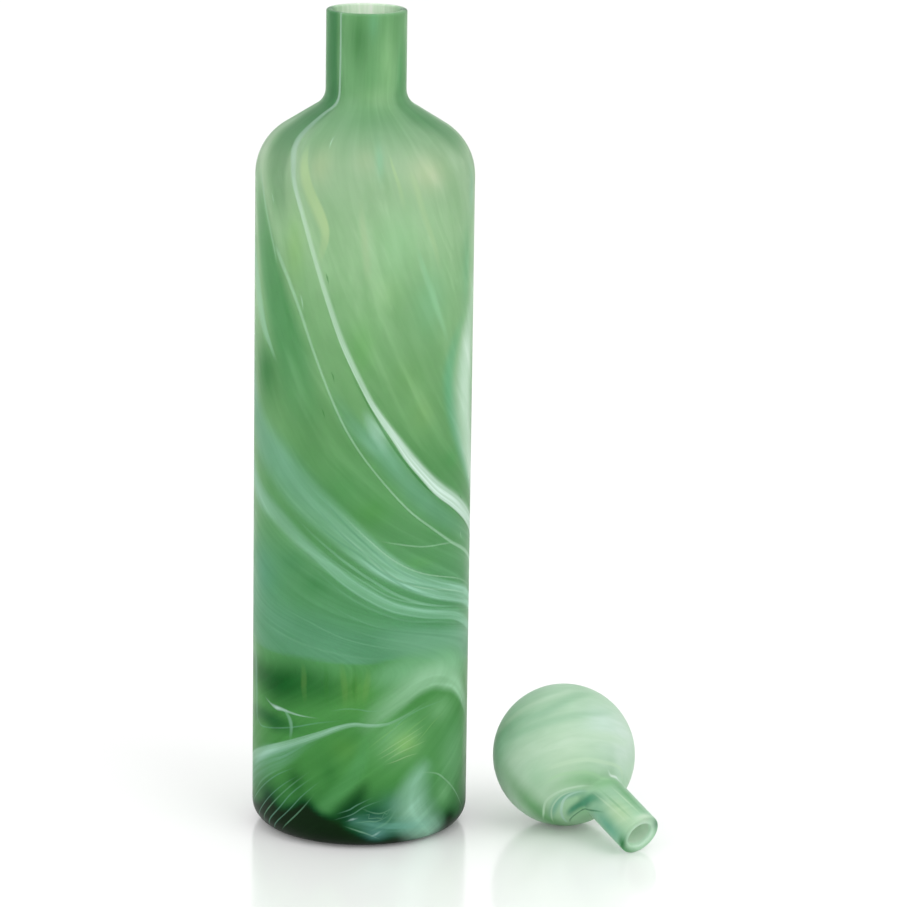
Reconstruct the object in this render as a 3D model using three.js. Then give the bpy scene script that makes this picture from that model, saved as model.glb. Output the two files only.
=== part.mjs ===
// Tall blown-glass bottle with a hollow ball stopper lying on the ground beside it.
// Millimetres, +Z up. The origin is the centre of the bottle's flat base, on the bottle's axis.
import * as THREE from "three";

// Bottle
const BODY_DIAMETER = 127; // outside of the straight side
const SIDE_HEIGHT = 389.4; // from the base to where the shoulder starts to turn in
const HEEL_RADIUS = 13.2; // round edge between the side and the base
const SHOULDER_RADIUS = 33.9; // round corner between the side and the shoulder slope
const SHOULDER_TURN = 58.1; // degrees that this corner turns before the slope runs straight
const NECK_DIAMETER = 46.6; // outside of the straight neck
const NECK_FILLET = 11; // hollow curve from the shoulder slope into the neck
const NECK_LENGTH = 46.1; // straight part of the neck, up to the lip
const GLASS_WALL = 4; // same thickness in the side, the shoulder and the neck
const BASE_THICKNESS = 18; // heavy glass at the centre of the base
const INNER_HEEL_RADIUS = 24; // inside corner, where the side runs into the thick base
const LIP_ROUND = 1.2; // fire-polished edges of the lip

// Stopper
const BALL_DIAMETER = 84.4;
const BALL_WALL = 4;
const STEM_CLEARANCE = 6.2; // between the stem and the neck's bore, on each side
const STEM_LENGTH = 39.2; // from the ball's surface to the open tip
const STEM_WALL = 5.2;
const STEM_FILLET = 3; // hollow curve between the stem and the ball
const BORE_ROUND = 4; // inside edge, where the stem's bore opens into the ball
const TIP_ROUND = 1; // edges of the open tip

// Where the stopper lies
const STOPPER_GAP = 15.7; // clear space between the ball and the bottle's side
const STOPPER_BEARING = -2.8; // degrees from +X to the ball, seen from the bottle's axis
const STEM_HEADING = -54.3; // degrees from +X to the way the stem points along the ground

// Facets
const ARC_TOLERANCE = 0.15; // how far a profile's straight step may leave its arc
const BOTTLE_SEGMENTS = 64;
const STOPPER_SEGMENTS = 40;

const { degToRad, radToDeg } = THREE.MathUtils;

// Profile points [radius, height] along an arc, from one angle to another in degrees
function arc([centreRadius, centreHeight], radius, from, to) {
  const widestStep = radToDeg(2 * Math.acos(1 - ARC_TOLERANCE / radius));
  const steps = Math.ceil(Math.abs(to - from) / widestStep);
  const points = [];
  for (let step = 0; step <= steps; step++) {
    const angle = degToRad(from + ((to - from) * step) / steps);
    points.push([centreRadius + radius * Math.cos(angle), centreHeight + radius * Math.sin(angle)]);
  }
  return points;
}

// Solid of revolution about +Z. The profile keeps the glass on its left and ends on the axis.
function revolve(profile, segments) {
  const points = profile.map(([radius, height]) => new THREE.Vector2(radius, height));
  const geometry = new THREE.LatheGeometry(points, segments);
  geometry.rotateX(Math.PI / 2);
  return geometry;
}

function satinGlass(color) {
  return new THREE.MeshStandardMaterial({ color, roughness: 0.35, metalness: 0 });
}

// Bottle: one closed profile, up the outside, over the lip and down the inside
const bodyRadius = BODY_DIAMETER / 2;
const neckRadius = NECK_DIAMETER / 2;
const boreRadius = neckRadius - GLASS_WALL;

function makeBottle() {
  const turn = degToRad(SHOULDER_TURN);
  const heelCentre = [bodyRadius - HEEL_RADIUS, HEEL_RADIUS];
  const shoulderCentre = [bodyRadius - SHOULDER_RADIUS, SIDE_HEIGHT];

  // The neck fillet touches the neck and the shoulder slope
  const filletReach = neckRadius + NECK_FILLET - shoulderCentre[0];
  const filletRise = (SHOULDER_RADIUS + NECK_FILLET - filletReach * Math.cos(turn)) / Math.sin(turn);
  const filletCentre = [neckRadius + NECK_FILLET, SIDE_HEIGHT + filletRise];
  const lipHeight = filletCentre[1] + NECK_LENGTH;

  const lipEdgeHeight = lipHeight - LIP_ROUND;
  const innerHeelCentre = [
    bodyRadius - GLASS_WALL - INNER_HEEL_RADIUS,
    BASE_THICKNESS + INNER_HEEL_RADIUS,
  ];
  const profile = [
    [0, 0],
    ...arc(heelCentre, HEEL_RADIUS, -90, 0),
    ...arc(shoulderCentre, SHOULDER_RADIUS, 0, SHOULDER_TURN),
    ...arc(filletCentre, NECK_FILLET, 180 + SHOULDER_TURN, 180),
    ...arc([neckRadius - LIP_ROUND, lipEdgeHeight], LIP_ROUND, 0, 90),
    ...arc([boreRadius + LIP_ROUND, lipEdgeHeight], LIP_ROUND, 90, 180),
    ...arc(filletCentre, NECK_FILLET + GLASS_WALL, 180, 180 + SHOULDER_TURN),
    ...arc(shoulderCentre, SHOULDER_RADIUS - GLASS_WALL, SHOULDER_TURN, 0),
    ...arc(innerHeelCentre, INNER_HEEL_RADIUS, 0, -90),
    [0, BASE_THICKNESS],
  ];
  const bottle = new THREE.Mesh(revolve(profile, BOTTLE_SEGMENTS), satinGlass(0x6fae7f));
  bottle.name = "bottle";
  return bottle;
}

// Stopper: made upright about the ball's centre, with the stem pointing down
const ballRadius = BALL_DIAMETER / 2;
const stemRadius = boreRadius - STEM_CLEARANCE;
const stemReach = Math.sqrt(ballRadius ** 2 - stemRadius ** 2) + STEM_LENGTH;

// Centre of a curve that touches a ball and a tube on the ball's axis, on the outside of both
function junctionCentre(sphereRadius, tubeRadius, curveRadius) {
  const reach = tubeRadius + curveRadius;
  return [reach, -Math.sqrt((sphereRadius + curveRadius) ** 2 - reach ** 2)];
}

function makeStopper() {
  const stemBore = stemRadius - STEM_WALL;
  const hollowRadius = ballRadius - BALL_WALL;
  const ballCentre = [0, 0];
  const boreCentre = junctionCentre(hollowRadius, stemBore, BORE_ROUND);
  const boreAngle = radToDeg(Math.atan2(boreCentre[1], boreCentre[0]));
  const filletCentre = junctionCentre(ballRadius, stemRadius, STEM_FILLET);
  const filletAngle = radToDeg(Math.atan2(filletCentre[1], filletCentre[0]));

  const tipEdgeHeight = TIP_ROUND - stemReach;
  const profile = [
    ...arc(ballCentre, hollowRadius, 90, boreAngle),
    ...arc(boreCentre, BORE_ROUND, 180 + boreAngle, 180),
    ...arc([stemBore + TIP_ROUND, tipEdgeHeight], TIP_ROUND, 180, 270),
    ...arc([stemRadius - TIP_ROUND, tipEdgeHeight], TIP_ROUND, -90, 0),
    ...arc(filletCentre, STEM_FILLET, 180, 180 + filletAngle),
    ...arc(ballCentre, ballRadius, filletAngle, 90),
  ];
  const stopper = new THREE.Mesh(revolve(profile, STOPPER_SEGMENTS), satinGlass(0xa9d3b4));
  stopper.name = "stopper";
  return stopper;
}

// The stopper lies on its ball and on the lower edge of its tip. This is how far the stem drops.
function lyingDrop() {
  const along = stemReach - TIP_ROUND;
  const across = stemRadius - TIP_ROUND;
  return Math.asin((ballRadius - TIP_ROUND) / Math.hypot(along, across)) - Math.atan2(across, along);
}

function layDown(stopper) {
  stopper.rotation.y = lyingDrop() - Math.PI / 2;
  const lying = new THREE.Group();
  lying.add(stopper);
  lying.rotation.z = degToRad(STEM_HEADING);
  const distance = bodyRadius + STOPPER_GAP + ballRadius;
  const bearing = degToRad(STOPPER_BEARING);
  lying.position.set(distance * Math.cos(bearing), distance * Math.sin(bearing), ballRadius);
  return lying;
}

const decorativeBottle = new THREE.Group();
decorativeBottle.add(makeBottle());
decorativeBottle.add(layDown(makeStopper()));

export default decorativeBottle;
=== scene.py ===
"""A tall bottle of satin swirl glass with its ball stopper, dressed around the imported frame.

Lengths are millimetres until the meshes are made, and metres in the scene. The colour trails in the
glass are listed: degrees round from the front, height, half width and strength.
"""

import math
from typing import NamedTuple

import bpy
import numpy as np
from mathutils import Matrix, Vector


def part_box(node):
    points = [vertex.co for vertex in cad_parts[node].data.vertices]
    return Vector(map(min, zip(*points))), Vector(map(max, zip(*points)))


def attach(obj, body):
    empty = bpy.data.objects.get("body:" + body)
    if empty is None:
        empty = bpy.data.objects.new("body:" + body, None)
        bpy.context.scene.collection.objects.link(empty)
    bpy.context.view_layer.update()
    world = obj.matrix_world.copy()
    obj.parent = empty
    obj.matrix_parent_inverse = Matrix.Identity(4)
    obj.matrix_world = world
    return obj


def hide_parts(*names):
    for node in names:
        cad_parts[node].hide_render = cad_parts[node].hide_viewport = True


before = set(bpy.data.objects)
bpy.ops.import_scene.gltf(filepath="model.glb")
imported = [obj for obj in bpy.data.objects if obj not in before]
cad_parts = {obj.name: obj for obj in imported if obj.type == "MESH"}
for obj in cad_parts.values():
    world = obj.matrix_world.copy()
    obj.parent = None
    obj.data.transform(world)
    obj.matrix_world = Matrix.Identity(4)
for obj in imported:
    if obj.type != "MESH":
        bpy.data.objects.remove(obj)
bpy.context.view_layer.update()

MM = 0.001

# Bottle, as in the frame
bottle_low, bottle_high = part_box("bottle")
BODY_RADIUS = (bottle_high.x - bottle_low.x) / 2 / MM
LIP_HEIGHT = bottle_high.z / MM
HEEL_RADIUS = 13.2
SHOULDER_RADIUS = 33.9
SHOULDER_TURN = 58.1
NECK_RADIUS = 23.3
NECK_FILLET = 11.0
NECK_LENGTH = 46.1
GLASS_WALL = 4.0
BASE_THICKNESS = 18.0
INNER_HEEL_RADIUS = 24.0
LIP_ROUND = 1.2

# Stopper, as in the frame
stopper_low, stopper_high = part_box("stopper")
BALL_RADIUS = (stopper_high.z - stopper_low.z) / 2 / MM
ball_reach = BALL_RADIUS * MM
BALL_CENTRE = Vector((stopper_low.x + ball_reach, stopper_high.y - ball_reach, ball_reach))
BALL_WALL = 4.0
STEM_RADIUS = 13.1
STEM_LENGTH = 39.2
STEM_WALL = 5.2
STEM_FILLET = 3.0
BORE_ROUND = 4.0
TIP_ROUND = 1.0
STEM_HEADING = -54.3

# Camera, from the way the outline narrows towards the base
IMAGE_SIDE = 907
FOCAL_PIXELS = 4848.4
CAMERA_DISTANCE = 2760.7
CAMERA_HEIGHT = 886.9
CAMERA_PITCH = 13.503
CAMERA_YAW = 1.106
CAMERA_ROLL = 0.826
SENSOR = 36.0

# Studio, in metres and watts
LAMP_AIM = (0, 0, 0.25)
LAMPS = [  # name, place, size and power
    ("key", (1.2, -1.2, 1.8), 1.4, 12),
    ("fill", (-1.6, -0.8, 1.2), 1.6, 6),
]
WORLD_LIGHT = 0.9  # on the object
WORLD_SEEN = 1.0  # white where the background shows
FLOOR_REACH = 12.0
FLOOR_WHITE = 0.96
FLOOR_ROUGHNESS = 0.15
FLOOR_SPECULAR = 0.9
FLOOR_GLOW = 0.09

# Steps along the profiles, and segments round them
ARC_STEPS = 40
UNDER_STEP = 10.0
OUTSIDE_STEP = 1.9
LIP_STEP = 0.4
INSIDE_STEP = 5.0
BOTTLE_SEGMENTS = 240
HOLLOW_STEP = 3.0
TIP_STEP = 0.35
BALL_STEP = 0.9
STOPPER_SEGMENTS = 192

# Surface of the glass. A noise is its scale, detail and distortion.
GLASS_IOR = 1.2
GLASS_SPECULAR = 0.3
SATIN_NOISE = (0.05, 4.0, 0.0)
SATIN_ROUGHNESS = (0.3, 0.4)
WAVE_STRENGTH = 0.3
WAVE_DEPTH = 0.0004
CLOUD_NOISE = (0.02, 4.0, 0.6)
BROAD_NOISE = (2.4, 3.0, 0.8)
FINE_NOISE = (8.0, 5.0, 0.8)
WISP_NOISE = (4.0, 5.0, 1.4)
NOISE_SPREAD = (0.3, 0.7)
WISP_SPREAD = (0.5, 0.78)
GREEN_TONE = 0.6  # streaks change green less than red and blue
UNEVEN_NOISE = (5.0, 3.0, 0.0)
UNEVEN_SPREAD = (0.35, 0.6)
UNEVEN_COVER = (0.75, 1.0)
BOTTLE_STREAKS = 0.07
BOTTLE_WISPS = 0.22
STOPPER_STREAKS = 0.035
STOPPER_WISPS = 0.06
FLOW_HEIGHT = 300  # over which the bottle's streaks change
FLOW_WIDTH = 160  # and the stopper's, along its bands
FLOW_DEPTH = 30  # and across them

# Trails drawn through the glass
SOFT = (0.9, 0.9)  # left and right edges that fade out
LINE_EDGES = (0.7, 0.7)
LINE_END = 0.6  # width of a fine line's end
LEAST_WIDTH = 0.3
SPAN_STEPS = 16
OFF_TRAIL = 3.0  # half widths from its middle, where nothing is left of a trail
FAR_WIDTHS = 2.5  # beyond this many half widths, and this far past its edge, a point isn't on it
FAR_MARGIN = 2.6
END_REACH = 4.0  # past its end
NEAR_MARGIN = 12.0  # points this much further off aren't looked at
SEARCH_STRIDE = 4  # path points from one search to the next
BATCH = 4000  # surface points at a time
STREAK_NOISE = (1.0, 4.0, 0.0)
STREAK_SPREAD = (0.35, 0.65)
STREAK_ACROSS = 4.0
STREAK_ALONG = 0.014
SEED_STEP = 3.7
PATCH_FALLOFF = 2.0
SLOPE_STEP = 0.5
LEAST_RADIUS = 1.0


# Profiles of the turned glass

def arc(centre, radius, start, end):
    """Profile points along an arc, angles in degrees."""
    angles = np.radians(np.linspace(start, end, ARC_STEPS + 1))
    return [(centre[0] + radius * math.cos(a), centre[1] + radius * math.sin(a)) for a in angles]


def evenly(points, step):
    """The same outline with points about one step apart, ends kept."""
    points = np.array(points, float)
    along = np.concatenate([[0], np.cumsum(np.hypot(*np.diff(points, axis=0).T))])
    count = max(2, round(along[-1] / step) + 1)
    places = np.linspace(0, along[-1], count)
    return np.column_stack([np.interp(places, along, points[:, i]) for i in (0, 1)])


def join(*outlines):
    """One profile from outlines that meet end to end, each with the step between its points."""
    runs = [evenly(points, step) for points, step in outlines]
    return np.vstack(runs[:1] + [run[1:] for run in runs[1:]])


def bottle_profile():
    """Outside, lip and inside of the bottle, from the axis to the axis."""
    turn = math.radians(SHOULDER_TURN)
    shoulder_r = BODY_RADIUS - SHOULDER_RADIUS
    fillet_r = NECK_RADIUS + NECK_FILLET
    rise = (SHOULDER_RADIUS + NECK_FILLET - (fillet_r - shoulder_r) * math.cos(turn)) / math.sin(turn)
    fillet = (fillet_r, LIP_HEIGHT - NECK_LENGTH)
    shoulder = (shoulder_r, fillet[1] - rise)
    heel = (BODY_RADIUS - HEEL_RADIUS, HEEL_RADIUS)
    lip_edge = LIP_HEIGHT - LIP_ROUND
    bore = NECK_RADIUS - GLASS_WALL
    inner_heel = (BODY_RADIUS - GLASS_WALL - INNER_HEEL_RADIUS, BASE_THICKNESS + INNER_HEEL_RADIUS)
    under = [(0, 0), (heel[0], 0)]
    outside = (
        arc(heel, HEEL_RADIUS, -90, 0)
        + arc(shoulder, SHOULDER_RADIUS, 0, SHOULDER_TURN)
        + arc(fillet, NECK_FILLET, 180 + SHOULDER_TURN, 180)
        + [(NECK_RADIUS, lip_edge)]
    )
    lip = arc((NECK_RADIUS - LIP_ROUND, lip_edge), LIP_ROUND, 0, 90)
    lip += arc((bore + LIP_ROUND, lip_edge), LIP_ROUND, 90, 180)
    inside = (
        [(bore, lip_edge)]
        + arc(fillet, NECK_FILLET + GLASS_WALL, 180, 180 + SHOULDER_TURN)
        + arc(shoulder, SHOULDER_RADIUS - GLASS_WALL, SHOULDER_TURN, 0)
        + arc(inner_heel, INNER_HEEL_RADIUS, 0, -90)
        + [(0, BASE_THICKNESS)]
    )
    profile = join((under, UNDER_STEP), (outside, OUTSIDE_STEP), (lip, LIP_STEP), (inside, INSIDE_STEP))
    return profile, np.array(outside)


def junction(sphere, tube, curve):
    """Centre of a curve that touches a ball and a tube on the ball's axis."""
    reach = tube + curve
    return reach, -math.sqrt((sphere + curve) ** 2 - reach ** 2)


STEM_REACH = math.sqrt(BALL_RADIUS ** 2 - STEM_RADIUS ** 2) + STEM_LENGTH


def stopper_profile():
    """Inside, tip and outside of the upright stopper, about the ball's centre."""
    bore = STEM_RADIUS - STEM_WALL
    hollow = BALL_RADIUS - BALL_WALL
    bore_curve = junction(hollow, bore, BORE_ROUND)
    bore_angle = math.degrees(math.atan2(bore_curve[1], bore_curve[0]))
    fillet = junction(BALL_RADIUS, STEM_RADIUS, STEM_FILLET)
    fillet_angle = math.degrees(math.atan2(fillet[1], fillet[0]))
    tip_edge = TIP_ROUND - STEM_REACH
    inside = (
        arc((0, 0), hollow, 90, bore_angle)
        + arc(bore_curve, BORE_ROUND, 180 + bore_angle, 180)
        + [(bore, tip_edge)]
    )
    tip = arc((bore + TIP_ROUND, tip_edge), TIP_ROUND, 180, 270)
    tip += arc((STEM_RADIUS - TIP_ROUND, tip_edge), TIP_ROUND, -90, 0)
    outside = (
        [(STEM_RADIUS, tip_edge)]
        + arc(fillet, STEM_FILLET, 180, 180 + fillet_angle)
        + arc((0, 0), BALL_RADIUS, fillet_angle, 90)
    )
    profile = join((inside, HOLLOW_STEP), (tip, TIP_STEP), (outside, BALL_STEP))
    return profile, np.array(outside)


# Turned meshes

def revolve(name, profile, segments):
    """A closed turned mesh in millimetres about Z. Its bake layout unrolls it: round by along."""
    rings = profile[1:-1]
    turns = np.arange(segments) / segments * 2 * math.pi
    verts = [(0, 0, profile[0][1])]
    for radius, height in rings:
        flat = np.full(segments, height)
        verts.extend(zip(radius * np.sin(turns), -radius * np.cos(turns), flat))
    verts.append((0, 0, profile[-1][1]))
    along = np.concatenate([[0], np.cumsum(np.hypot(*np.diff(profile, axis=0).T))])
    along /= along[-1]
    faces, layout = [], []
    last = len(rings) - 1
    for j in range(segments):
        k = (j + 1) % segments
        left, right, middle = j / segments, (j + 1) / segments, (j + 0.5) / segments
        faces.append((0, 1 + k, 1 + j))
        layout += [(middle, along[0]), (right, along[1]), (left, along[1])]
        for i in range(last):
            low, high = 1 + i * segments, 1 + (i + 1) * segments
            faces.append((low + j, low + k, high + k, high + j))
            start, end = along[i + 1], along[i + 2]
            layout += [(left, start), (right, start), (right, end), (left, end)]
        top = 1 + last * segments
        faces.append((top + j, top + k, len(verts) - 1))
        layout += [(left, along[-2]), (right, along[-2]), (middle, along[-1])]
    mesh = bpy.data.meshes.new(name)
    mesh.from_pydata(verts, [], faces)
    mesh.uv_layers.new(name="OFBake").data.foreach_set("uv", np.array(layout, np.float32).ravel())
    mesh.polygons.foreach_set("use_smooth", [True] * len(faces))
    piece = bpy.data.objects.new(name, mesh)
    bpy.context.scene.collection.objects.link(piece)
    return piece


def read_points(mesh):
    """The mesh's points as an array."""
    return np.array([point.co[:] for point in mesh.vertices])


# Colours of the glass, as they are seen against white

def linear(colour):
    """A colour written as it is seen, 0 to 255, turned for a shader."""
    seen = np.array(colour) / 255
    return np.where(seen <= 0.04045, seen / 12.92, ((seen + 0.055) / 1.055) ** 2.4)


WHITE_MINT = (192, 226, 206)
PALE_MINT = (168, 210, 178)
MINT = (140, 194, 162)
SOFT_MINT = (118, 176, 138)
TEAL = (94, 154, 116)
BEIGE = (172, 196, 154)
STRAW = (164, 202, 144)
SPRING = (122, 182, 108)
FOREST = (60, 124, 62)
NIGHT = (10, 42, 28)

CLEAR = 0.5  # share of light that goes through glass without milk in it
FRONT_LIGHT = 0.95
BACK_LIGHT = 0.45  # through the far wall, whose colour is about the same
STRAY_LIGHT = 0.1
HAZE = 0.01  # white gloss over the satin surface
DARKEST = 0.002
PALEST = 0.95


def wall_colour(seen, milk):
    """Colour of a wall that is seen as this, lit from the front and, where it is clear, from behind."""
    clear = CLEAR * (1 - milk)
    behind = BACK_LIGHT * clear
    front = FRONT_LIGHT * (1 - clear) + STRAY_LIGHT * clear
    body = np.maximum(seen - HAZE, DARKEST)
    return np.clip(2 * body / (front + np.sqrt(front ** 2 + 4 * behind * body)), 0, PALEST)


class Trail(NamedTuple):
    """One trail of colour drawn through the glass."""
    name: str
    colour: tuple
    milk: float
    edges: tuple  # softness of the left and right edge, as a share of the half width
    streak: float  # how far fine lines break it up
    runs: list  # each a list of places: degrees, height, half width, strength


def thin_lines(name, colour, milk, half, strength, *lines):
    """Fine lines well apart from each other, each through a few spots and fading out at both ends."""
    runs = []
    for spots in lines:
        run = [(*spot, half, strength) for spot in spots]
        for end in (0, -1):
            run[end] = (*spots[end], LINE_END * half, 0)
        runs.append(run)
    return Trail(name, colour, milk, LINE_EDGES, 0.0, runs)


# Height, colour and milkiness
BOTTLE_HEIGHTS = [
    (0, (12, 34, 22), 0.9), (8, (24, 62, 36), 0.8), (20, (52, 110, 58), 0.6), (45, (74, 140, 72), 0.3),
    (90, (76, 142, 74), 0.3), (112, (84, 148, 88), 0.3), (140, (90, 153, 104), 0.2),
    (185, (92, 152, 96), 0.1), (225, (95, 154, 95), 0.1), (260, (110, 164, 106), 0),
    (318, (133, 181, 128), 0), (365, (150, 190, 144), 0), (405, (153, 186, 148), 0),
    (425, (124, 169, 126), 0), (440, (118, 170, 118), 0), (455, (114, 166, 114), 0),
    (484, (104, 154, 104), 0), (486, (132, 180, 134), 0),
]

# Soft clouds: degrees round from the front, height, half width, half height, colour and strength
BOTTLE_PATCHES = [
    # Neck. The pale cloud at the back of the mouth is painted light coming through the far wall; the dark
    # clouds at the lip's two ends are painted shade where the wall is seen edge-on.
    (180, 482, 34, 14, (212, 228, 206), 0.95), (-10, 471, 7, 22, (82, 134, 84), 0.85),
    (10, 480, 4, 12, (112, 172, 130), 0.6), (33, 456, 8, 28, (136, 186, 130), 0.9),
    (56, 450, 3, 20, (104, 172, 112), 0.8), (18, 438, 13, 8, (146, 192, 140), 0.7),
    (-95, 486, 9, 3, (72, 112, 84), 0.95), (92, 486, 9, 3, (66, 104, 82), 0.95),
    # Shoulder
    (57, 404, 5, 9, (174, 204, 170), 0.6), (-25, 403, 9, 13, (166, 190, 148), 0.8),
    (0, 407, 9, 9, (162, 188, 150), 0.7), (36, 399, 18, 13, (175, 197, 157), 0.95),
    (8, 407, 3, 12, (148, 202, 168), 0.7), (75, 384, 6, 18, (124, 184, 150), 0.6),
    # Upper side
    (-39, 355, 9, 26, (148, 194, 128), 0.8), (18, 359, 18, 28, (156, 204, 154), 0.7),
    (37, 325, 15, 24, (140, 196, 152), 0.6), (68, 340, 8, 34, (110, 174, 124), 0.8),
    (-1, 300, 11, 22, (110, 172, 100), 0.6), (24, 281, 17, 18, (112, 164, 102), 0.6),
    (13, 332, 12, 14, (142, 190, 132), 0.5), (-62, 280, 24, 30, (58, 122, 64), 0.9),
    # Middle
    (-29, 255, 15, 22, (88, 144, 88), 0.6), (33, 260, 11, 15, (118, 170, 104), 0.6),
    (54, 230, 9, 8, (82, 152, 86), 0.7), (5, 204, 15, 12, (84, 150, 80), 0.8),
    (-10, 216, 14, 14, (84, 148, 86), 0.6), (22, 222, 9, 9, (106, 160, 92), 0.5),
    (32, 172, 15, 5, (94, 160, 94), 0.7), (-39, 170, 16, 11, (76, 138, 88), 0.7),
    (-24, 159, 14, 9, (74, 138, 84), 0.8), (-66, 158, 26, 26, (86, 152, 118), 0.8),
    (62, 120, 24, 16, (114, 174, 134), 0.7),
    # Above and under the low band
    (-3, 97, 14, 14, (86, 148, 70), 0.8), (48, 81, 17, 11, (114, 174, 116), 0.9),
    (22, 67, 23, 19, (116, 178, 118), 0.8), (25, 64, 11, 9, (138, 192, 102), 0.5),
    (62, 50, 24, 31, (116, 176, 122), 0.85), (-8, 62, 12, 10, (88, 150, 74), 0.6),
    (-36, 38, 9, 11, (44, 98, 48), 0.9), (-16, 46, 8, 11, (50, 112, 54), 0.6),
    # Foot
    (-57, 24, 14, 11, (28, 74, 44), 0.9), (8, 20, 17, 14, (26, 72, 56), 0.9),
    (18, 27, 10, 10, (76, 130, 104), 0.7), (-3, 19, 7, 5, (62, 112, 100), 0.6),
    (9, 10, 9, 6, (84, 138, 126), 0.75), (52, 28, 12, 11, (112, 172, 116), 0.85),
    (57, 11, 8, 7, (14, 40, 24), 1),
]

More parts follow.
